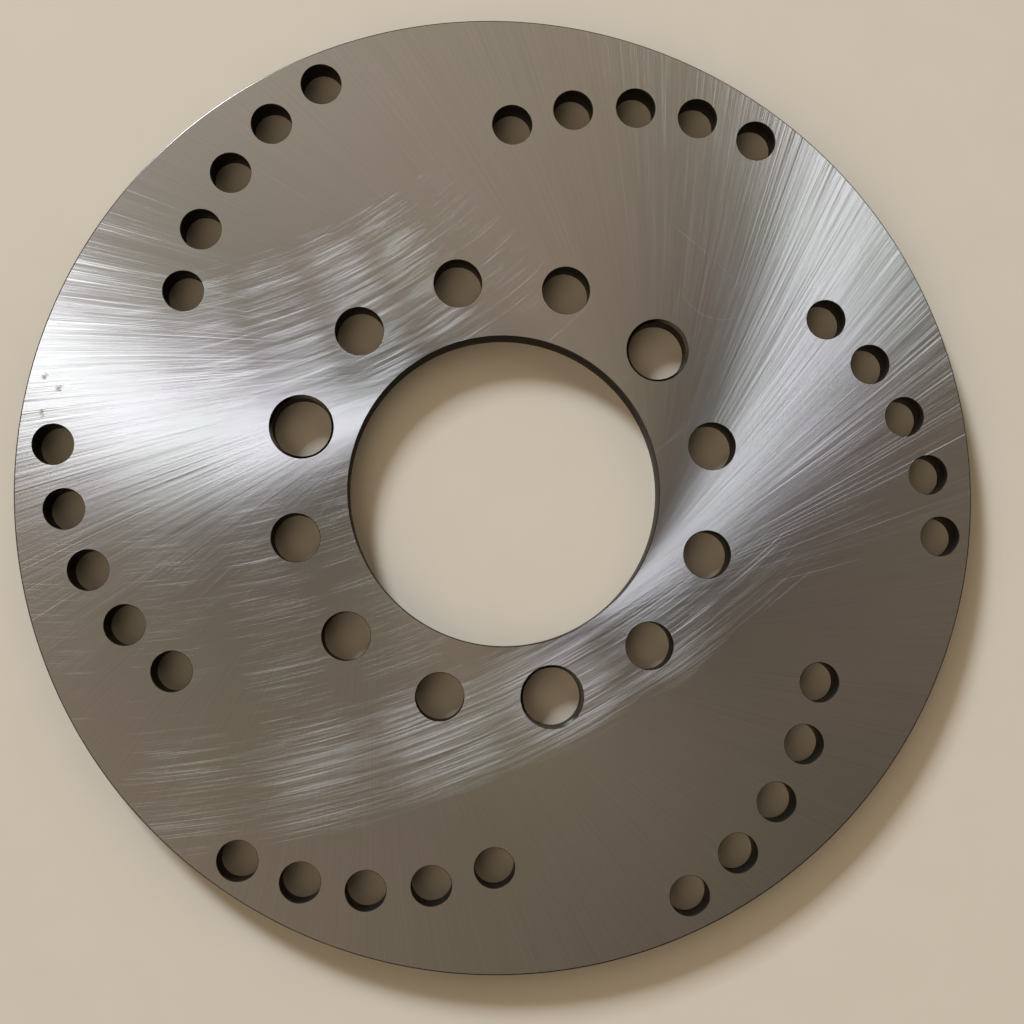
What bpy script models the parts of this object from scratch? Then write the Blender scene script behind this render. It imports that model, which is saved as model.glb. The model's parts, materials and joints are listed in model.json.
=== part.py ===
"""Brake disc rotor for a small motorcycle or scooter, in metres, +Z up.

The rotor is one flat plate of ground stainless steel. It lies on its back face:
the origin is on the disc's axis, in the plane of the back face, and the front
face is at z = THICKNESS. One of the three large mounting holes is at -Y.
"""

import math

import bmesh
import bpy
from mathutils import Matrix

OBJECT_NAME = "brake_disc_rotor"

# The plate
OUTER_DIAMETER = 0.180
BORE_DIAMETER = 0.0585
THICKNESS = 0.004
RIM_BREAK = 0.0003  # 45 degrees, on both edges of the rim
BORE_BREAK = 0.00015  # 45 degrees, on both edges of the bore

# The mounting holes: three large ones, and a trio of small ones after each of them
SECTORS = 3
LARGE_HOLE_DIAMETER = 0.011
LARGE_HOLE_CHAMFER = 0.0005  # 45 degrees, at both mouths
LARGE_HOLE_CIRCLE = 0.0794  # diameter of the circle through their centres
LARGE_HOLE_BEARING = 150.0  # degrees from +X of the first one
SMALL_HOLE_DIAMETER = 0.009
SMALL_HOLES_PER_SECTOR = 3
SMALL_HOLE_LAG = 30.4  # degrees clockwise from a large hole to the first of its trio
SMALL_HOLE_STEP = 29.7  # degrees clockwise from one of a trio to the next
SMALL_HOLE_RADIUS = 0.0404  # from the disc's axis to the first of a trio
SMALL_HOLE_RADIUS_STEP = 0.00025  # how much closer to the axis each next one is

# The vent holes: two rows in each sector, each row on an arc that spirals inwards.
# An arc's centre lies off the disc's axis, at OFFSET and at LAG degrees clockwise
# from the large hole; FIRST is the angle of its outermost hole, as seen from there.
VENT_DIAMETER = 0.0075
VENTS_PER_ROW = 5
VENT_PITCH = 0.01207  # straight distance between neighbours in a row
ROW_ARCS = (
    {"offset": 0.0272, "lag": 71.6, "radius": 0.0600, "first": -38.3},
    {"offset": 0.0268, "lag": 130.7, "radius": 0.0595, "first": -98.5},
)

# Corners of each round edge
PLATE_SIDES = 180
LARGE_HOLE_SIDES = 36
SMALL_HOLE_SIDES = 28
VENT_SIDES = 24
CUTTER_OVERHANG = 0.002  # how far a cutter runs past each face
MERGE_DISTANCE = 0.00001
SHARP_ANGLE = math.radians(30)

SECTOR_ANGLE = 360.0 / SECTORS


def clear_scene():
    for old in list(bpy.data.objects):
        bpy.data.objects.remove(old, do_unlink=True)


def new_collection(name):
    collection = bpy.data.collections.new(name)
    bpy.context.scene.collection.children.link(collection)
    return collection


def ground_steel():
    """Stainless steel, ground flat: warm grey, with a fine directional finish."""
    material = bpy.data.materials.new("ground_steel")
    material.use_nodes = True
    shader = material.node_tree.nodes["Principled BSDF"]
    shader.inputs["Base Color"].default_value = (0.46, 0.43, 0.39, 1.0)
    shader.inputs["Roughness"].default_value = 0.32
    shader.inputs["Metallic"].default_value = 1.0
    return material


def polar(radius, degrees):
    angle = math.radians(degrees)
    return radius * math.cos(angle), radius * math.sin(angle)


def turned(name, profile, closed, sides, collection):
    """A profile of (radius, z) points, turned about the Z axis."""
    mesh = bpy.data.meshes.new(name)
    count = len(profile)
    edges = [(i, i + 1) for i in range(count - 1)]
    if closed:
        edges.append((count - 1, 0))
    mesh.from_pydata([(radius, 0.0, z) for radius, z in profile], edges, [])
    piece = bpy.data.objects.new(name, mesh)
    collection.objects.link(piece)
    screw = piece.modifiers.new("turn", "SCREW")
    screw.axis = "Z"
    screw.angle = math.tau
    screw.steps = sides
    screw.render_steps = sides
    screw.use_merge_vertices = True
    screw.merge_threshold = MERGE_DISTANCE
    screw.use_smooth_shade = False
    return piece


def make_plate(collection):
    """The plate with its bore, before the mounting holes and vents are cut."""
    rim = OUTER_DIAMETER / 2
    bore = BORE_DIAMETER / 2
    profile = [
        (rim - RIM_BREAK, THICKNESS),
        (rim, THICKNESS - RIM_BREAK),
        (rim, RIM_BREAK),
        (rim - RIM_BREAK, 0.0),
        (bore + BORE_BREAK, 0.0),
        (bore, BORE_BREAK),
        (bore, THICKNESS - BORE_BREAK),
        (bore + BORE_BREAK, THICKNESS),
    ]
    return turned("brake_disc", profile, True, PLATE_SIDES, collection)


def hide_cutter(cutter):
    cutter.hide_render = True
    cutter.display_type = "WIRE"


def drill(name, diameter, sides, place, collection):
    """A plain round cutter that runs past both faces."""
    mesh = bpy.data.meshes.new(name)
    shape = bmesh.new()
    bmesh.ops.create_cone(
        shape,
        cap_ends=True,
        segments=sides,
        radius1=diameter / 2,
        radius2=diameter / 2,
        depth=THICKNESS + 2 * CUTTER_OVERHANG,
        matrix=Matrix.Translation((0.0, 0.0, THICKNESS / 2)),
    )
    shape.to_mesh(mesh)
    shape.free()
    cutter = bpy.data.objects.new(name, mesh)
    collection.objects.link(cutter)
    cutter.location = (*place, 0.0)
    hide_cutter(cutter)


def chamfer_drill(name, place, collection):
    """A turned cutter that also chamfers both mouths of a large mounting hole."""
    radius = LARGE_HOLE_DIAMETER / 2
    flare = radius + LARGE_HOLE_CHAMFER + CUTTER_OVERHANG
    top = THICKNESS + CUTTER_OVERHANG
    profile = [
        (0.0, top),
        (flare, top),
        (radius, THICKNESS - LARGE_HOLE_CHAMFER),
        (radius, LARGE_HOLE_CHAMFER),
        (flare, -CUTTER_OVERHANG),
        (0.0, -CUTTER_OVERHANG),
    ]
    cutter = turned(name, profile, False, LARGE_HOLE_SIDES, collection)
    cutter.location = (*place, 0.0)
    hide_cutter(cutter)


def place_mounting_holes(collection):
    for sector in range(SECTORS):
        start = LARGE_HOLE_BEARING - sector * SECTOR_ANGLE
        place = polar(LARGE_HOLE_CIRCLE / 2, start)
        chamfer_drill(f"large_hole_{sector + 1}", place, collection)
        for index in range(SMALL_HOLES_PER_SECTOR):
            radius = SMALL_HOLE_RADIUS - index * SMALL_HOLE_RADIUS_STEP
            bearing = start - SMALL_HOLE_LAG - index * SMALL_HOLE_STEP
            name = f"small_hole_{sector + 1}_{index + 1}"
            place = polar(radius, bearing)
            drill(name, SMALL_HOLE_DIAMETER, SMALL_HOLE_SIDES, place, collection)


def place_vents(collection):
    for sector in range(SECTORS):
        start = LARGE_HOLE_BEARING - sector * SECTOR_ANGLE
        for row, arc in enumerate(ROW_ARCS):
            centre_x, centre_y = polar(arc["offset"], start - arc["lag"])
            pitch_angle = 2 * math.degrees(math.asin(VENT_PITCH / 2 / arc["radius"]))
            for index in range(VENTS_PER_ROW):
                bearing = start + arc["first"] + index * pitch_angle
                x, y = polar(arc["radius"], bearing)
                name = f"vent_{2 * sector + row + 1}_{index + 1}"
                place = (centre_x + x, centre_y + y)
                drill(name, VENT_DIAMETER, VENT_SIDES, place, collection)


def cut(piece, cutters):
    boolean = piece.modifiers.new("holes", "BOOLEAN")
    boolean.operation = "DIFFERENCE"
    boolean.operand_type = "COLLECTION"
    boolean.collection = cutters
    boolean.solver = "EXACT"


def finish_mesh(piece, material):
    """Fixes the modifiers' result as the piece's mesh, and shades it smooth between sharp edges."""
    graph = bpy.context.evaluated_depsgraph_get()
    mesh = bpy.data.meshes.new_from_object(piece.evaluated_get(graph))
    piece.modifiers.clear()
    piece.data = mesh
    mesh.name = piece.name
    mesh.materials.clear()
    mesh.materials.append(material)
    mesh.shade_smooth()
    mesh.set_sharp_from_angle(angle=SHARP_ANGLE)


def main():
    clear_scene()
    parts = new_collection(OBJECT_NAME)
    cutters = new_collection("cutters")
    disc = make_plate(parts)
    place_mounting_holes(cutters)
    place_vents(cutters)
    cut(disc, cutters)
    finish_mesh(disc, ground_steel())


main()
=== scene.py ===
"""The looks of a motorcycle brake disc rotor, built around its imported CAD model.

The rotor is one flat plate of ground stainless steel, lying on a pale floor. Low
window light comes from beyond its far side, and the room above is dim.
"""

import json
import math

import bmesh
import bpy
from mathutils import Matrix, Vector

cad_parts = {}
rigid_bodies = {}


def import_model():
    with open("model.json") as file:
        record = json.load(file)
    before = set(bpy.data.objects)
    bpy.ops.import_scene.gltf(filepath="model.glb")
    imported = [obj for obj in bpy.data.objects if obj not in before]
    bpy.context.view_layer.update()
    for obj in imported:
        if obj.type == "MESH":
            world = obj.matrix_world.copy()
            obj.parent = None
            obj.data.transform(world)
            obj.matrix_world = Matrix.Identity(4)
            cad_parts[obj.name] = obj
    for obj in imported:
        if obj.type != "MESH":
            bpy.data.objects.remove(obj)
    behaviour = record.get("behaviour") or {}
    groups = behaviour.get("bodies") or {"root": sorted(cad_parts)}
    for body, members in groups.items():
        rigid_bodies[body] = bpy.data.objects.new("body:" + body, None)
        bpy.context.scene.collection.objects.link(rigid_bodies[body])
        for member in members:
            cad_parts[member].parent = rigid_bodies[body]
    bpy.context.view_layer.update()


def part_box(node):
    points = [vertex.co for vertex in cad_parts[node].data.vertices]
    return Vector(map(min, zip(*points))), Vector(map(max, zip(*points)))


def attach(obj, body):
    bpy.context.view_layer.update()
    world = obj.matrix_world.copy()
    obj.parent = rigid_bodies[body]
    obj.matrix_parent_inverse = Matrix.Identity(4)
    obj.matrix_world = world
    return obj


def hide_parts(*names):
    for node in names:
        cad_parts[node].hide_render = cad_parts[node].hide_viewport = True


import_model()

low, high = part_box("brake_disc")

# The plate, as the CAD model has it
RIM_RADIUS = high.x
BACK = low.z
FRONT = high.z
BORE_RADIUS = 0.0585 / 2
RIM_BREAK = 0.0003
BORE_BREAK = 0.00015

# The mounting holes: three large ones, and a trio of small ones after each of them
SECTORS = 3
LARGE_HOLE_RADIUS = 0.011 / 2
LARGE_HOLE_CHAMFER = 0.0005
LARGE_HOLE_CIRCLE = 0.0794
LARGE_HOLE_BEARING = 150.0  # degrees from +X of the first one
SMALL_HOLE_RADIUS = 0.009 / 2
SMALL_HOLE_BREAK = 0.0001
SMALL_HOLES_PER_SECTOR = 3
SMALL_HOLE_LAG = 30.4  # degrees clockwise from a large hole to the first of its trio
SMALL_HOLE_STEP = 29.7  # degrees clockwise from one of a trio to the next
SMALL_HOLE_PLACE = 0.0404  # from the disc's axis to the first of a trio
SMALL_HOLE_PLACE_STEP = 0.00025  # how much closer to the axis each next one is

# The vent holes: two rows in each sector, each row on an arc that spirals inwards. An arc's centre lies
# at its offset from the disc's axis, and its lag is in degrees clockwise from the sector's large hole.
# Its first vent is in degrees from that hole's bearing, seen from the arc's centre.
VENT_RADIUS = 0.0075 / 2
VENT_BREAK = 0.0001
VENTS_PER_ROW = 5
VENT_PITCH = 0.01207
ROW_ARCS = (
    {"offset": 0.0272, "lag": 71.6, "radius": 0.0600, "first": -38.3},
    {"offset": 0.0268, "lag": 130.7, "radius": 0.0595, "first": -98.5},
)

# Corners of each round edge
RIM_SIDES = 720
LARGE_HOLE_SIDES = 120
SMALL_HOLE_SIDES = 96
ROUNDING_STEPS = 4
CUTTER_OVERHANG = 0.001
MERGE_DISTANCE = 0.000001
FLAT_COSINE = 0.9999  # a ground face's normal has at least this cosine to the disc's axis
WALL_COSINE = 0.2  # and a wall's normal has at most this one

# The grinding: long flat arcs, which all pass a point close to the disc's axis at the same distance
GRINDING_CENTRE = (0.0015, -0.0020)
GRINDING_CIRCLE = 0.0261  # radius of the circle that they would touch if they were straight
GRINDING_BEND = 0.33  # one over an arc's diameter in metres
GROOVE_DEPTH = 0.000004

# Noise that runs along the grooves: cells to a radian across them, and to a metre along them
FINE_GROOVES = (6000.0, 30.0)
BROAD_GROOVES = (600.0, 16.0)
DEEP_GROOVES = (420.0, 28.0)
DARK_STREAKS = (420.0, 30.0)

# How far a groove leaves its arc, in radians, and the levels of its noise between which that changes
STRAY = (0.005, 0.45)
STRAY_LEVELS = (0.45, 0.80)
BACK_STRAY = -0.45
BACK_STRAY_LEVELS = (0.25, 0.34)
WAVER = 0.065
CROSSING = 0.20
CROSSING_LEVELS = (0.64, 0.72)

# A later polish: arcs about a point beyond the disc's edge, in two bands
POLISH_CENTRE = (-0.0476, 0.1484)
POLISH_LEAN = 0.12  # radians that the scratches turn from the arcs
POLISH_SWAY = 0.07  # radians that they vary from that, either way
NEAR_BAND_START = (0.088, 0.101)  # distances from that point between which each band starts or ends
NEAR_BAND_END = (0.118, 0.140)
FAR_BAND_START = (0.170, 0.188)
FAR_BAND_END = (0.200, 0.209)
NEAR_BAND_SHARE = 0.95
BETWEEN_BANDS = 0.61  # share of a band's scratches that lie between the two
POLISH_THINNING = (0.040, 0.090)  # distances from the disc's axis between which it thins out
POLISH_AT_RIM = 0.6
POLISH_SWEEP = (math.radians(-74.0), math.radians(-50.0))  # bearings between which it lifts off
POLISH_SWEEP_END = 0.25  # share of its scratches that is left there

# Noise that runs along the polish: cells to a metre across the arcs, and to a radian along them
FINE_SCRATCHES = (42000.0, 8.0)
STRANDS = (7500.0, 8.0)
WISPS = (1300.0, 3.0)
STRAND_LIFT = 0.028  # how far the strands and the wisps raise or lower the fine noise
WISP_LIFT = 0.036
UNPOLISHED_DROP = 0.28  # how far the noise is lowered where there is no polish
SCRATCH_LEVELS = (0.51, 0.60)  # levels of the noise at which a scratch starts and is full

# Marks of storage and handling on the faces
STAINS = (((-0.0779, 0.0388), 0.0010), ((-0.0802, 0.0322), 0.0013), ((-0.0761, 0.0363), 0.0011))
LONG_SCRATCH = {"centre": (-0.0253, -0.0163), "radius": 0.0900, "from": 28.9, "to": 42.2}
HOOKED_SCRATCH = {"centre": (0.0498, 0.0312), "radius": 0.0084, "from": -178.0, "to": -70.0}
SCRATCH_WIDTH = 0.00012
SCRATCH_TAPER = 0.2  # share of its length over which a scratch fades in, and out
SCRATCH_PATCHES = 700.0  # patches to a metre, where a scratch is stronger or weaker
STAIN_EDGES = 1100.0  # cells to a metre in the noise that frays the stains

# Levels between which most of a noise lies, and nearly all of it
NOISE_MIDDLE = (0.3, 0.7)
NOISE_RANGE = (0.2, 0.8)

# Colours
STEEL_GREENISH = (0.445, 0.462, 0.432, 1.0)
STEEL_PURPLISH = (0.485, 0.452, 0.480, 1.0)
STREAK_GREY = (0.30, 0.30, 0.30, 1.0)
SCRATCH_SILVER = (0.85, 0.85, 0.85, 1.0)
STAIN_BROWN = (0.10, 0.075, 0.055, 1.0)
# Painted shade: the walls of the bore, the holes and the rim made near black, where they lie in shade
WALL_PAINTED_SHADE_DARK = (0.020, 0.018, 0.016, 1.0)
WALL_PAINTED_SHADE_PALE = (0.05, 0.045, 0.04, 1.0)
# Painted shade: the chamfers and broken edges darkened, so that only their glints show
EDGE_PAINTED_SHADE_DARK = (0.028, 0.027, 0.025, 1.0)
EDGE_PAINTED_SHADE_PALE = (0.075, 0.072, 0.068, 1.0)
FLOOR_DARK = (0.70, 0.655, 0.575, 1.0)
FLOOR_LIGHT = (0.74, 0.70, 0.62, 1.0)
WINDOW_COLOUR = (0.94, 1.0, 1.05)
ROOM_COLOUR = (1.28, 1.0, 0.70, 1.0)

# Roughness, at the smoothest and the roughest
STEEL_ROUGHNESS = (0.425, 0.445)
WALL_ROUGHNESS = (0.45, 0.60)
EDGE_ROUGHNESS = (0.16, 0.27)

# Mottling and marks, in cells to a metre
STEEL_MOTTLE = 24.0
FLOOR_MOTTLE = 90.0
EDGE_MARKS = 2500.0
WALL_MARKS = (200.0, 200.0, 9000.0)  # along X, Y and Z, so that they run around the walls


def polar(radius, degrees):
    angle = math.radians(degrees)
    return radius * math.cos(angle), radius * math.sin(angle)


# ---------------------------------------------------------------- geometry


def rounded(radius, height, outward, upward, amount):
    """Points of a small quarter round, from the side wall to the face."""
    points = []
    for step in range(ROUNDING_STEPS + 1):
        angle = math.radians(90.0) * step / ROUNDING_STEPS
        inset = amount * (1.0 - math.cos(angle))
        rise = amount * (1.0 - math.sin(angle))
        points.append((radius - outward * inset, height - upward * rise))
    return points


def turned(name, profile, sides, closed):
    """A profile of (radius, z) points, turned about the Z axis."""
    shape = bmesh.new()
    corners = [shape.verts.new((radius, 0.0, z)) for radius, z in profile]
    edges = [shape.edges.new(pair) for pair in zip(corners, corners[1:])]
    if closed:
        edges.append(shape.edges.new((corners[-1], corners[0])))
    bmesh.ops.spin(
        shape,
        geom=corners + edges,
        cent=(0.0, 0.0, 0.0),
        axis=(0.0, 0.0, 1.0),
        angle=math.tau,
        steps=sides,
        use_merge=True,
    )
    bmesh.ops.remove_doubles(shape, verts=shape.verts, dist=MERGE_DISTANCE)
    bmesh.ops.recalc_face_normals(shape, faces=shape.faces)
    mesh = bpy.data.meshes.new(name)
    shape.to_mesh(mesh)
    shape.free()
    return mesh


def plate_profile():
    rim_top = rounded(RIM_RADIUS, FRONT, 1, 1, RIM_BREAK)
    rim_bottom = rounded(RIM_RADIUS, BACK, 1, -1, RIM_BREAK)
    bore_top = rounded(BORE_RADIUS, FRONT, -1, 1, BORE_BREAK)
    bore_bottom = rounded(BORE_RADIUS, BACK, -1, -1, BORE_BREAK)
    return rim_top + bore_top[::-1] + bore_bottom + rim_bottom[::-1]


def drill_profile(radius, chamfer):
    """A hole's cutter: plain in the middle, and flared at both mouths."""
    flare = radius + chamfer + CUTTER_OVERHANG
    return [
        (0.0, FRONT + CUTTER_OVERHANG),
        (flare, FRONT + CUTTER_OVERHANG),
        (radius, FRONT - chamfer),
        (radius, BACK + chamfer),
        (flare, BACK - CUTTER_OVERHANG),
        (0.0, BACK - CUTTER_OVERHANG),
    ]


def hole_places():
    """Each kind of hole, with the places of its axes."""
    large = []
    small = []
    vents = []
    for sector in range(SECTORS):
        start = LARGE_HOLE_BEARING - sector * 360.0 / SECTORS
        large.append(polar(LARGE_HOLE_CIRCLE / 2, start))
        for index in range(SMALL_HOLES_PER_SECTOR):
            radius = SMALL_HOLE_PLACE - index * SMALL_HOLE_PLACE_STEP
            small.append(polar(radius, start - SMALL_HOLE_LAG - index * SMALL_HOLE_STEP))
        for arc in ROW_ARCS:
            centre_x, centre_y = polar(arc["offset"], start - arc["lag"])
            pitch_angle = 2 * math.degrees(math.asin(VENT_PITCH / 2 / arc["radius"]))
            for index in range(VENTS_PER_ROW):
                x, y = polar(arc["radius"], start + arc["first"] + index * pitch_angle)
                vents.append((centre_x + x, centre_y + y))
    return large, small, vents


def drill_all(disc, drills):
    """Cuts every hole from the disc, and leaves it one plain mesh."""
    cutters = bpy.data.collections.new("cutters")
    bpy.context.scene.collection.children.link(cutters)
    for drill, places in drills:
        for x, y in places:
            cutter = bpy.data.objects.new("cutter", drill)
            cutter.location = (x, y, 0.0)
            cutters.objects.link(cutter)
    boolean = disc.modifiers.new("holes", "BOOLEAN")
    boolean.operation = "DIFFERENCE"
    boolean.operand_type = "COLLECTION"
    boolean.collection = cutters
    boolean.solver = "EXACT"
    graph = bpy.context.evaluated_depsgraph_get()
    mesh = bpy.data.meshes.new_from_object(disc.evaluated_get(graph))
    disc.modifiers.clear()
    disc.data = mesh
    mesh.name = disc.name
    for cutter in list(cutters.objects):
        bpy.data.objects.remove(cutter, do_unlink=True)
    bpy.data.collections.remove(cutters)


def in_a_mouth(face, holes):
    centre = face.calc_center_median()
    for (x, y), radius in holes:
        if math.hypot(centre.x - x, centre.y - y) < radius:
            return True
    return False


def finish_surfaces(disc, materials, plain_holes):
    """Gives each face the material of how it was machined, with painted shade on the walls and edges,
    and keeps the flat faces' edges crisp.

    The mouths of the plain holes, given as (place, radius) pairs, take their walls' material and its
    painted shade.
    """
    disc.data.materials.clear()
    for material in materials:
        disc.data.materials.append(material)
    shape = bmesh.new()
    shape.from_mesh(disc.data)
    bmesh.ops.remove_doubles(shape, verts=shape.verts, dist=MERGE_DISTANCE)
    for face in shape.faces:
        face.smooth = True
        axial = abs(face.normal.z)
        if axial > FLAT_COSINE:
            face.material_index = 0
        # Walls and the mouths of the plain holes get the near-black painted shade
        elif axial < WALL_COSINE or in_a_mouth(face, plain_holes):
            face.material_index = 1
        else:
            face.material_index = 2
    for edge in shape.edges:
        kinds = {face.material_index for face in edge.link_faces}
        edge.smooth = len(kinds) == 1
    shape.to_mesh(disc.data)
    shape.free()


def make_disc(materials):
    mesh = turned("rotor", plate_profile(), RIM_SIDES, True)
    disc = bpy.data.objects.new("rotor", mesh)
    bpy.context.scene.collection.objects.link(disc)
    large, small, vents = hole_places()
    large_drill = turned(
        "large_drill", drill_profile(LARGE_HOLE_RADIUS, LARGE_HOLE_CHAMFER), LARGE_HOLE_SIDES, False
    )
    small_drill = turned(
        "small_drill", drill_profile(SMALL_HOLE_RADIUS, SMALL_HOLE_BREAK), SMALL_HOLE_SIDES, False
    )
    vent_drill = turned(
        "vent_drill", drill_profile(VENT_RADIUS, VENT_BREAK), SMALL_HOLE_SIDES, False
    )
    drill_all(disc, [(large_drill, large), (small_drill, small), (vent_drill, vents)])
    plain_holes = [(spot, SMALL_HOLE_RADIUS + 2 * SMALL_HOLE_BREAK) for spot in small]
    plain_holes += [(spot, VENT_RADIUS + 2 * VENT_BREAK) for spot in vents]
    finish_surfaces(disc, materials, plain_holes)
    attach(disc, "root")
    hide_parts("brake_disc")
    return disc


# ---------------------------------------------------------------- materials


class Nodes:
    """Short calls to add nodes to one material or world."""

    def __init__(self, tree):
        self.tree = tree

    def add(self, kind, settings=None, inputs=None):
        node = self.tree.nodes.new(kind)
        for name, value in (settings or {}).items():
            setattr(node, name, value)
        for key, value in (inputs or {}).items():
            self.set(node.inputs[key], value)
        return node

    def set(self, socket, value):
        if isinstance(value, bpy.types.NodeSocket):
            self.tree.links.new(value, socket)
        else:
            socket.default_value = value

    def math(self, operation, a, b=None, c=None, clamp=False):
        inputs = {i: v for i, v in enumerate((a, b, c)) if v is not None}
        node = self.add("ShaderNodeMath", {"operation": operation, "use_clamp": clamp}, inputs)
        return node.outputs[0]

    def vector(self, x, y, z):
        return self.add("ShaderNodeCombineXYZ", None, {0: x, 1: y, 2: z}).outputs[0]

    def vector_math(self, operation, a, b=None):
        inputs = {i: v for i, v in enumerate((a, b)) if v is not None}
        return self.add("ShaderNodeVectorMath", {"operation": operation}, inputs)

    def noise(self, place, scale, detail, roughness=0.5):
        inputs = {"Vector": place, "Scale": scale, "Detail": detail, "Roughness": roughness}
        return self.add("ShaderNodeTexNoise", {"noise_dimensions": "3D"}, inputs).outputs["Fac"]

    def span(self, value, from_low, from_high, to_low, to_high, smooth=False):
        """The value, moved from one range to another and held inside it."""
        kind = "SMOOTHSTEP" if smooth else "LINEAR"
        inputs = {
            "Value": value,
            "From Min": from_low,
            "From Max": from_high,
            "To Min": to_low,
            "To Max": to_high,
        }
        node = self.add("ShaderNodeMapRange", {"interpolation_type": kind}, inputs)
        return node.outputs["Result"]

    def blend(self, share, first, second):
        settings = {"data_type": "RGBA", "blend_type": "MIX"}
        node = self.add("ShaderNodeMix", settings, {"Factor": share, 6: first, 7: second})
        return node.outputs[2]


def new_material(name):
    material = bpy.data.materials.new(name)
    material.use_nodes = True
    nodes = Nodes(material.node_tree)
    shader = material.node_tree.nodes["Principled BSDF"]
    shader.inputs["Metallic"].default_value = 1.0
    return material, nodes, shader


def groove_frame(nodes, place):
    """A point's place in the grinding: the grooves' bearing, which groove, how far along."""
    offset = nodes.vector_math("SUBTRACT", place, (*GRINDING_CENTRE, 0.0)).outputs[0]
    apart = nodes.add("ShaderNodeSeparateXYZ", None, {0: offset})
    x = apart.outputs[0]
    y = apart.outputs[1]
    squared = nodes.math("ADD", nodes.math("MULTIPLY", x, x), nodes.math("MULTIPLY", y, y))
    radius = nodes.math("SQRT", squared)
    straight = nodes.math("DIVIDE", GRINDING_CIRCLE, radius)
    sine = nodes.math("MULTIPLY_ADD", radius, GRINDING_BEND, straight, clamp=True)
    lean = nodes.math("ARCSINE", sine)
    bearing = nodes.math("ADD", nodes.math("ARCTAN2", y, x), lean)
    along = nodes.math("MULTIPLY", radius, nodes.math("COSINE", lean))
    groove = nodes.math("MULTIPLY_ADD", along, -2.0 * GRINDING_BEND, bearing)
    return bearing, groove, along


def groove_noise(nodes, groove, along, cells, detail):
    """Streaks along the grooves, with their cells to a radian and to a metre."""
    to_a_radian, to_a_metre = cells
    place = nodes.vector(
        nodes.math("MULTIPLY", nodes.math("COSINE", groove), to_a_radian),
        nodes.math("MULTIPLY", nodes.math("SINE", groove), to_a_radian),
        nodes.math("MULTIPLY", along, to_a_metre),
    )
    return nodes.noise(place, 1.0, detail)


def polish_frame(nodes, place):
    """A point's distance and bearing from the centre of the polishing arcs."""
    offset = nodes.vector_math("SUBTRACT", place, (*POLISH_CENTRE, 0.0)).outputs[0]
    apart = nodes.add("ShaderNodeSeparateXYZ", None, {0: offset})
    flat = nodes.vector(apart.outputs[0], apart.outputs[1], 0.0)
    distance = nodes.vector_math("LENGTH", flat).outputs["Value"]
    bearing = nodes.math("ARCTAN2", apart.outputs[1], apart.outputs[0])
    return distance, bearing


def polish_noise(nodes, distance, turn, cells, layer, detail):
    """Streaks along the polishing arcs. Noises on different layers have nothing in common."""
    to_a_metre, to_a_radian = cells
    place = nodes.vector(
        nodes.math("MULTIPLY", distance, to_a_metre), nodes.math("MULTIPLY", turn, to_a_radian), layer
    )
    return nodes.noise(place, 1.0, detail)


def unit_vector(nodes, bearing):
    return nodes.vector(nodes.math("COSINE", bearing), nodes.math("SINE", bearing), 0.0)


def groove_stray(nodes, groove, along):
    """How far each groove strays from the arcs: most hardly do, and a few cross them."""
    fine = groove_noise(nodes, groove, along, FINE_GROOVES, 1.0)
    broad = groove_noise(nodes, groove, along, BROAD_GROOVES, 2.0)
    deep = groove_noise(nodes, groove, along, DEEP_GROOVES, 0.0)
    forward = nodes.span(fine, *STRAY_LEVELS, *STRAY)
    backward = nodes.span(fine, *BACK_STRAY_LEVELS, BACK_STRAY, 0.0)
    waver = nodes.span(broad, *NOISE_MIDDLE, -WAVER, WAVER)
    crossing = nodes.span(deep, *CROSSING_LEVELS, 0.0, CROSSING)
    stray = nodes.math("ADD", nodes.math("ADD", forward, backward), waver)
    return nodes.math("ADD", stray, crossing)


def polish_share(nodes, place, distance, turn):
    """How much of the surface the polish has scratched, and the noise of its wisps."""
    fine = polish_noise(nodes, distance, turn, FINE_SCRATCHES, 0.0, 1.0)
    strand = polish_noise(nodes, distance, turn, STRANDS, 3.0, 1.0)
    wisp = polish_noise(nodes, distance, turn, WISPS, 7.0, 2.0)
    strand_lift = nodes.span(strand, *NOISE_MIDDLE, -STRAND_LIFT, STRAND_LIFT)
    wisp_lift = nodes.span(wisp, *NOISE_MIDDLE, -WISP_LIFT, WISP_LIFT)
    raised = nodes.math("ADD", nodes.math("ADD", fine, strand_lift), wisp_lift)
    near_band = nodes.math(
        "MULTIPLY",
        nodes.span(distance, *NEAR_BAND_START, 0.0, NEAR_BAND_SHARE, smooth=True),
        nodes.span(distance, *NEAR_BAND_END, 1.0, BETWEEN_BANDS, smooth=True),
    )
    far_band = nodes.math(
        "MULTIPLY",
        nodes.span(distance, *FAR_BAND_START, 0.0, 1.0, smooth=True),
        nodes.span(distance, *FAR_BAND_END, 1.0, 0.0, smooth=True),
    )
    before_end = nodes.span(distance, *FAR_BAND_END, 1.0, 0.0, smooth=True)
    bands = nodes.math("MAXIMUM", nodes.math("MULTIPLY", near_band, before_end), far_band)
    radius = nodes.vector_math("LENGTH", place).outputs["Value"]
    thinning = nodes.span(radius, *POLISH_THINNING, 1.0, POLISH_AT_RIM, smooth=True)
    sweep = nodes.span(turn, *POLISH_SWEEP, 1.0, POLISH_SWEEP_END, smooth=True)
    share = nodes.math("MULTIPLY", nodes.math("MULTIPLY", bands, thinning), sweep)
    missing = nodes.math("SUBTRACT", share, 1.0)
    lowered = nodes.math("MULTIPLY_ADD", missing, UNPOLISHED_DROP, raised)
    return nodes.span(lowered, *SCRATCH_LEVELS, 0.0, 1.0), wisp


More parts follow.
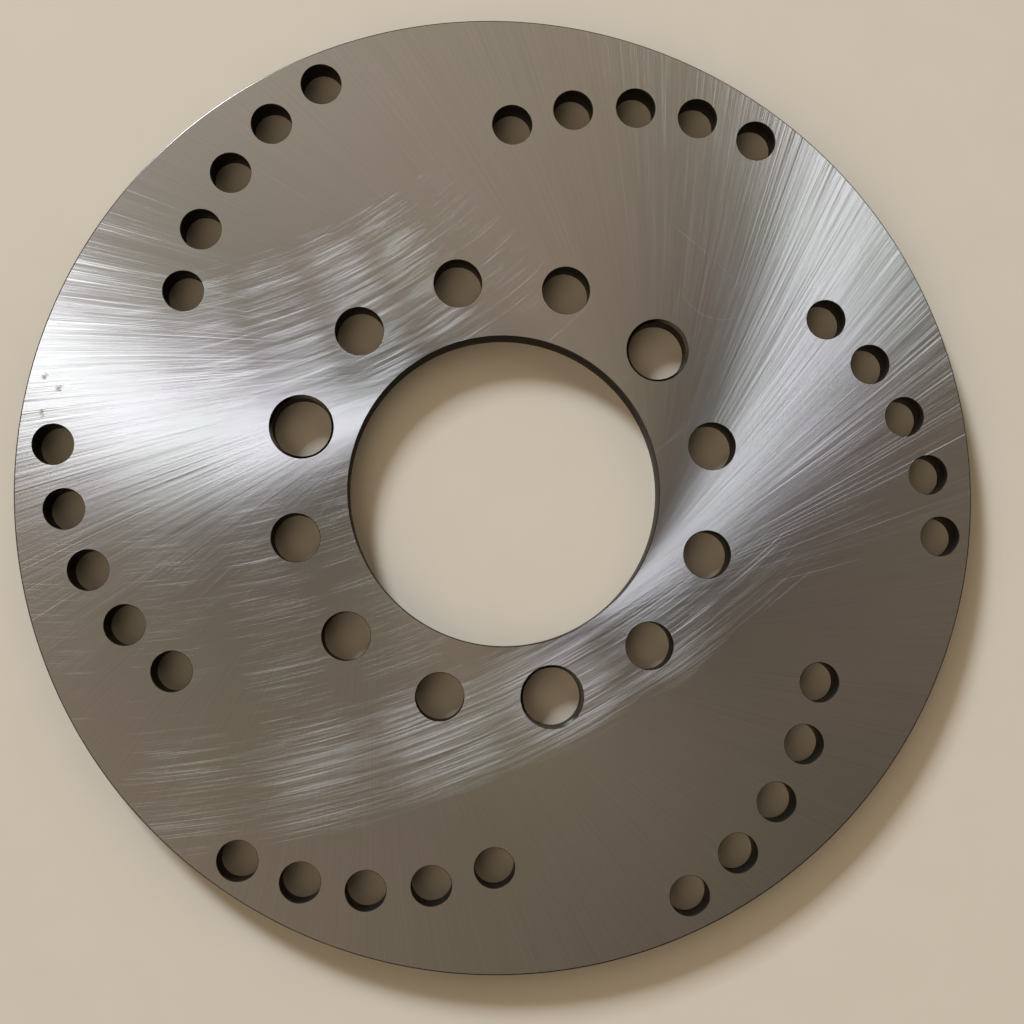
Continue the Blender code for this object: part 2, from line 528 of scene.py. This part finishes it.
def handling_scratch(nodes, place, arc):
    """A thin scratch along part of a circle, uneven along its length."""
    offset = nodes.vector_math("SUBTRACT", place, (*arc["centre"], FRONT)).outputs[0]
    apart = nodes.add("ShaderNodeSeparateXYZ", None, {0: offset})
    bearing = nodes.math("ARCTAN2", apart.outputs[1], apart.outputs[0])
    distance = nodes.vector_math("LENGTH", offset).outputs["Value"]
    away = nodes.math("ABSOLUTE", nodes.math("SUBTRACT", distance, arc["radius"]))
    line = nodes.span(away, 0.0, SCRATCH_WIDTH, 1.0, 0.0)
    start = math.radians(arc["from"])
    end = math.radians(arc["to"])
    taper = SCRATCH_TAPER * (end - start)
    begun = nodes.span(bearing, start, start + taper, 0.0, 1.0)
    not_ended = nodes.span(bearing, end - taper, end, 1.0, 0.0)
    patchy = nodes.span(nodes.noise(place, SCRATCH_PATCHES, 2.0), 0.35, 0.60, 0.15, 1.0)
    within = nodes.math("MULTIPLY", begun, not_ended)
    return nodes.math("MULTIPLY", nodes.math("MULTIPLY", line, within), patchy)


def stains(nodes, place):
    """A few small dark stains with ragged edges."""
    ragged = nodes.noise(place, STAIN_EDGES, 3.0, 0.7)
    total = None
    for spot, reach in STAINS:
        apart = nodes.vector_math("DISTANCE", place, (*spot, FRONT)).outputs["Value"]
        near = nodes.span(apart, 0.0, reach, 0.30, 0.0)
        share = nodes.span(nodes.math("ADD", ragged, near), 0.62, 0.80, 0.0, 0.8)
        inside = nodes.span(apart, 0.7 * reach, 1.6 * reach, 1.0, 0.0)
        stain = nodes.math("MULTIPLY", share, inside)
        total = stain if total is None else nodes.math("MAXIMUM", total, stain)
    return total


def ground_steel():
    """Both faces: ground steel, with a swirl of fine grooves and the scratches of handling."""
    material, nodes, shader = new_material("ground_steel")
    place = nodes.add("ShaderNodeTexCoord").outputs["Object"]
    bearing, groove, along = groove_frame(nodes, place)
    stray = groove_stray(nodes, groove, along)
    quarter = math.pi / 2
    across = unit_vector(nodes, nodes.math("ADD", nodes.math("ADD", bearing, stray), quarter))
    distance, turn = polish_frame(nodes, place)
    scratch, wisp = polish_share(nodes, place, distance, turn)
    lean = nodes.span(wisp, *NOISE_MIDDLE, POLISH_LEAN - POLISH_SWAY, POLISH_LEAN + POLISH_SWAY)
    polish_across = unit_vector(nodes, nodes.math("ADD", turn, lean))
    facing = nodes.vector_math("DOT_PRODUCT", across, polish_across).outputs["Value"]
    settings = {"operation": "SCALE"}
    inputs = {0: polish_across, "Scale": nodes.math("SIGN", facing)}
    same_side = nodes.add("ShaderNodeVectorMath", settings, inputs).outputs[0]
    settings = {"data_type": "VECTOR"}
    inputs = {"Factor": scratch, 4: across, 5: same_side}
    mixed = nodes.add("ShaderNodeMix", settings, inputs).outputs[1]
    tangent = nodes.vector_math("NORMALIZE", mixed).outputs[0]

    mottle = nodes.span(nodes.noise(place, STEEL_MOTTLE, 3.0, 0.6), 0.35, 0.65, 0.0, 1.0)
    colour = nodes.blend(mottle, STEEL_GREENISH, STEEL_PURPLISH)
    streaks = groove_noise(nodes, groove, along, DARK_STREAKS, 3.0)
    colour = nodes.blend(nodes.span(streaks, *NOISE_MIDDLE, 0.5, 0.0), colour, STREAK_GREY)
    scratches = nodes.math(
        "MAXIMUM",
        handling_scratch(nodes, place, LONG_SCRATCH),
        handling_scratch(nodes, place, HOOKED_SCRATCH),
    )
    colour = nodes.blend(nodes.math("MULTIPLY", scratches, 0.6), colour, SCRATCH_SILVER)
    colour = nodes.blend(stains(nodes, place), colour, STAIN_BROWN)
    relief = {"Strength": 0.3, "Distance": GROOVE_DEPTH, "Height": streaks}
    bump = nodes.add("ShaderNodeBump", None, relief)
    nodes.set(shader.inputs["Normal"], bump.outputs["Normal"])
    nodes.set(shader.inputs["Base Color"], colour)
    nodes.set(shader.inputs["Roughness"], nodes.span(streaks, *NOISE_RANGE, *STEEL_ROUGHNESS))
    nodes.set(shader.inputs["Tangent"], tangent)
    shader.inputs["Anisotropic"].default_value = 1.0
    shader.inputs["Coat Weight"].default_value = 1.0
    shader.inputs["Coat Roughness"].default_value = 0.55
    shader.inputs["Coat IOR"].default_value = 1.8
    return material


def drilled_wall():
    """The walls of the bore, the holes and the rim: near black as a painted shade, with marks around
    them.
    """
    material, nodes, shader = new_material("drilled_wall")
    place = nodes.add("ShaderNodeTexCoord").outputs["Object"]
    stretched = nodes.vector_math("MULTIPLY", place, WALL_MARKS).outputs[0]
    rings = nodes.noise(stretched, 1.0, 2.0)
    # Painted shade: near-black wall colour
    nodes.set(shader.inputs["Base Color"], nodes.blend(rings, WALL_PAINTED_SHADE_DARK, WALL_PAINTED_SHADE_PALE))
    nodes.set(shader.inputs["Roughness"], nodes.span(rings, *NOISE_RANGE, *WALL_ROUGHNESS))
    return material


def broken_edge():
    """The chamfers and broken edges: turned, darkened as a painted shade, and shinier than the faces.
    """
    material, nodes, shader = new_material("broken_edge")
    place = nodes.add("ShaderNodeTexCoord").outputs["Object"]
    marks = nodes.noise(place, EDGE_MARKS, 2.0)
    # Painted shade: dark edge colour
    nodes.set(shader.inputs["Base Color"], nodes.blend(marks, EDGE_PAINTED_SHADE_DARK, EDGE_PAINTED_SHADE_PALE))
    nodes.set(shader.inputs["Roughness"], nodes.span(marks, *NOISE_RANGE, *EDGE_ROUGHNESS))
    return material


def pale_floor():
    """A plain pale floor, with barely seen mottling."""
    material, nodes, shader = new_material("pale_floor")
    place = nodes.add("ShaderNodeTexCoord").outputs["Object"]
    mottle = nodes.noise(place, FLOOR_MOTTLE, 4.0, 0.6)
    nodes.set(shader.inputs["Base Color"], nodes.blend(mottle, FLOOR_DARK, FLOOR_LIGHT))
    shader.inputs["Metallic"].default_value = 0.0
    shader.inputs["Roughness"].default_value = 0.7
    shader.inputs["Specular IOR Level"].default_value = 0.2
    return material


# ---------------------------------------------------------------- floor, light and camera

FLOOR_SIDE = 4.0
WINDOW_BEARING = 109.0  # degrees from +X
WINDOW_ELEVATION = 21.5  # degrees
WINDOW_DISTANCE = 6.0
WINDOW_SIZE = (1.3, 1.0)
WINDOW_POWER = 425.0
WALL_ELEVATION = 5.0  # degrees
LIT_WALL_BEARING = 49.0  # degrees from +X of the wall that the window lights
LIT_WALL_COSINE = 0.5  # cosine, from the middle of that wall, at which its light ends
LIT_WALL_LIGHT = 1.10
PALE_WALL_BEARING = 189.0  # degrees from +X of the wider, paler walls
PALE_WALL_COSINE = 0.0  # the same for these walls
PALE_WALL_LIGHT = 0.84
ROOM_LIGHT = 0.012  # what the darkest parts of the room give
CAMERA_PLACE = Vector((-0.0142, -0.0220, FRONT + 0.1765))
CAMERA_TARGET = Vector((-0.0040, -0.0187, FRONT))  # where the lens axis meets the front face
CAMERA_UP_BEARING = 77.1  # degrees from +X that the picture's upright points to
CAMERA_FIELD = 945.0 / 1024.0  # focal length over the picture's width
CAMERA_SHIFT = (0.0054, 0.0785)
CAMERA_REACH = (0.01, 10.0)  # nearest and furthest that it sees


def make_floor():
    mesh = bpy.data.meshes.new("floor")
    shape = bmesh.new()
    bmesh.ops.create_grid(shape, x_segments=1, y_segments=1, size=FLOOR_SIDE / 2)
    shape.to_mesh(mesh)
    shape.free()
    floor = bpy.data.objects.new("floor", mesh)
    floor.location.z = BACK
    mesh.materials.append(pale_floor())
    bpy.context.scene.collection.objects.link(floor)


def aim(thing, place, target):
    thing.location = place
    thing.rotation_mode = "QUATERNION"
    thing.rotation_quaternion = (target - place).to_track_quat("-Z", "Y")


def direction_to(bearing, elevation):
    x, y = polar(math.cos(math.radians(elevation)), bearing)
    return Vector((x, y, math.sin(math.radians(elevation))))


def make_window():
    """The window: a wide area light, low beyond the far side of the disc."""
    light = bpy.data.lights.new("window", "AREA")
    light.shape = "RECTANGLE"
    light.size, light.size_y = WINDOW_SIZE
    light.energy = WINDOW_POWER
    light.color = WINDOW_COLOUR
    lamp = bpy.data.objects.new("window", light)
    bpy.context.scene.collection.objects.link(lamp)
    direction = direction_to(WINDOW_BEARING, WINDOW_ELEVATION)
    aim(lamp, direction * WINDOW_DISTANCE, Vector((0.0, 0.0, 0.0)))


def make_room():
    """The dim warm room: its walls are lighter to both sides of the window."""
    world = bpy.data.worlds.new("room")
    world.use_nodes = True
    bpy.context.scene.world = world
    nodes = Nodes(world.node_tree)
    background = world.node_tree.nodes["Background"]
    direction = nodes.add("ShaderNodeTexCoord").outputs["Generated"]
    lit_wall = direction_to(LIT_WALL_BEARING, WALL_ELEVATION)
    pale_wall = direction_to(PALE_WALL_BEARING, WALL_ELEVATION)
    towards_lit = nodes.vector_math("DOT_PRODUCT", direction, lit_wall).outputs["Value"]
    towards_pale = nodes.vector_math("DOT_PRODUCT", direction, pale_wall).outputs["Value"]
    lit_light = nodes.span(towards_lit, LIT_WALL_COSINE, 1.0, 0.0, LIT_WALL_LIGHT, smooth=True)
    pale_light = nodes.span(
        towards_pale, PALE_WALL_COSINE, 1.0, ROOM_LIGHT, PALE_WALL_LIGHT, smooth=True
    )
    background.inputs["Color"].default_value = ROOM_COLOUR
    nodes.set(background.inputs["Strength"], nodes.math("ADD", lit_light, pale_light))


def make_camera():
    data = bpy.data.cameras.new("camera")
    data.sensor_fit = "HORIZONTAL"
    data.lens = data.sensor_width * CAMERA_FIELD
    data.shift_x, data.shift_y = CAMERA_SHIFT
    data.clip_start, data.clip_end = CAMERA_REACH
    camera = bpy.data.objects.new("camera", data)
    bpy.context.scene.collection.objects.link(camera)
    back = (CAMERA_PLACE - CAMERA_TARGET).normalized()
    upright = Vector((*polar(1.0, CAMERA_UP_BEARING), 0.0))
    right = upright.cross(back).normalized()
    up = back.cross(right)
    turn = Matrix((right, up, back)).transposed().to_4x4()
    camera.matrix_world = Matrix.Translation(CAMERA_PLACE) @ turn
    bpy.context.scene.camera = camera


def main():
    make_disc([ground_steel(), drilled_wall(), broken_edge()])
    make_floor()
    make_window()
    make_room()
    make_camera()
    bpy.context.scene.view_settings.view_transform = "Standard"


main()
